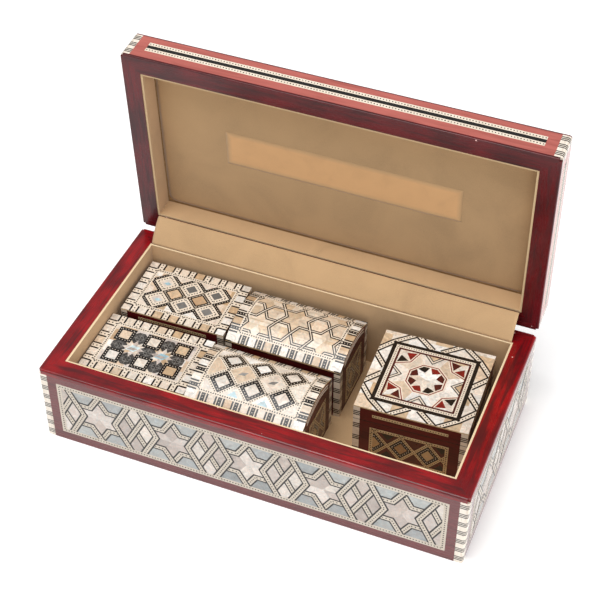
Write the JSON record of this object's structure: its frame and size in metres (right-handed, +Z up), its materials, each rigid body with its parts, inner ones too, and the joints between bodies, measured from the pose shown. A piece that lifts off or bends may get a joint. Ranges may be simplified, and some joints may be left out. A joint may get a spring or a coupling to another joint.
{
  "type": "inlaid wooden jewellery box",
  "caption": "Long hinged wooden box with red lacquered rims, shell and star strapwork inlay, a suede-lined tray and lid, and small flat, domed and square inlaid boxes inside.",
  "frame": {"origin": "middle of the large box's base in X and Y, on the table it stands on", "axes": "+X along the box to the right as seen from the front, +Y from the front to the hinges, +Z up"},
  "size_m": [0.25, 0.1514, 0.1857],
  "materials": {
    "core_board": "raw plywood",
    "red_lacquer": "gloss lacquer over mahogany",
    "striped_posts": "cream wood with dark lines, lacquered",
    "brown_wood": "plain",
    "star_inlay": "shell and wood strapwork, lacquered",
    "brown_veneer": "satin lacquer",
    "suede": "short nap",
    "satin_label": "satin",
    "brass": "dull",
    "pearl_inlay": "shell and wood marquetry, lacquered",
    "dark_wood": "satin lacquer"
  },
  "bodies": {
    "base": {"base_bottom": "core_board", "base_wall_front": "brown_wood", "base_wall_back": "brown_wood", "base_wall_left": "brown_wood", "base_wall_right": "brown_wood", "base_rim_front": "red_lacquer", "base_rim_back": "red_lacquer", "base_rim_left": "red_lacquer", "base_rim_right": "red_lacquer", "base_corner_posts": "striped_posts", "base_veneer_front": "star_inlay", "base_veneer_back": "brown_veneer", "base_veneer_sides": "star_inlay", "base_lining_floor": "suede", "base_lining_long": "suede", "base_lining_short": "suede", "hinge_leaves_base": "brass", "hinge_pins": "brass", "hinge_screws_base": "brass", "hinge_cloth": "suede"},
    "lid": {"lid_board": "core_board", "lid_wall_front": "brown_wood", "lid_wall_back": "brown_wood", "lid_wall_left": "brown_wood", "lid_wall_right": "brown_wood", "lid_rim_front": "red_lacquer", "lid_rim_back": "red_lacquer", "lid_rim_left": "red_lacquer", "lid_rim_right": "red_lacquer", "lid_corner_posts": "striped_posts", "lid_veneer_front": "brown_veneer", "lid_veneer_back": "brown_veneer", "lid_veneer_sides": "brown_veneer", "lid_veneer_top": "star_inlay", "lid_lining_pad": "suede", "lid_lining_edges": "suede", "lid_label": "satin_label", "hinge_leaves_lid": "brass", "hinge_screws_lid": "brass"},
    "flat_rear_box": {"flat_rear_walls": "dark_wood", "flat_rear_floor": "suede"},
    "flat_rear_cover": {"flat_rear_lid": "dark_wood", "flat_rear_inlay": "pearl_inlay"},
    "flat_front_box": {"flat_front_walls": "dark_wood", "flat_front_floor": "suede"},
    "flat_front_cover": {"flat_front_lid": "dark_wood", "flat_front_inlay": "pearl_inlay"},
    "dome_rear_box": {"dome_rear_walls": "dark_wood", "dome_rear_floor": "suede"},
    "dome_rear_cover": {"dome_rear_lid": "dark_wood", "dome_rear_inlay": "pearl_inlay"},
    "dome_front_box": {"dome_front_walls": "dark_wood", "dome_front_floor": "suede"},
    "dome_front_cover": {"dome_front_lid": "dark_wood", "dome_front_inlay": "pearl_inlay"},
    "square_box": {"square_walls": "dark_wood", "square_floor": "suede"},
    "square_cover": {"square_lid_board": "dark_wood", "square_inlay": "pearl_inlay"}
  },
  "joints": [
    {"name": "lid_hinge", "type": "hinge", "parent": "base", "child": "lid", "pos_m": [0, 0.0665, 0.0531], "axis": [-1, 0, 0], "range_deg": [-86, 0], "deforming": ["hinge_cloth"]},
    {"name": "flat_rear_lift", "type": "slide", "parent": "base", "child": "flat_rear_box", "axis": [0, 0, 1], "range_m": [0, 0.06]},
    {"name": "flat_rear_lid_lift", "type": "slide", "parent": "flat_rear_box", "child": "flat_rear_cover", "axis": [0, 0, 1], "range_m": [0, 0.03]},
    {"name": "flat_front_lift", "type": "slide", "parent": "base", "child": "flat_front_box", "axis": [0, 0, 1], "range_m": [0, 0.06]},
    {"name": "flat_front_lid_lift", "type": "slide", "parent": "flat_front_box", "child": "flat_front_cover", "axis": [0, 0, 1], "range_m": [0, 0.03]},
    {"name": "dome_rear_lift", "type": "slide", "parent": "base", "child": "dome_rear_box", "axis": [0, 0, 1], "range_m": [0, 0.06]},
    {"name": "dome_rear_lid_lift", "type": "slide", "parent": "dome_rear_box", "child": "dome_rear_cover", "axis": [0, 0, 1], "range_m": [0, 0.03]},
    {"name": "dome_front_lift", "type": "slide", "parent": "base", "child": "dome_front_box", "axis": [0, 0, 1], "range_m": [0, 0.06]},
    {"name": "dome_front_lid_lift", "type": "slide", "parent": "dome_front_box", "child": "dome_front_cover", "axis": [0, 0, 1], "range_m": [0, 0.03]},
    {"name": "square_lift", "type": "slide", "parent": "base", "child": "square_box", "axis": [0, 0, 1], "range_m": [0, 0.06]},
    {"name": "square_lid_lift", "type": "slide", "parent": "square_box", "child": "square_cover", "axis": [0, 0, 1], "range_m": [0, 0.03]}
  ]
}
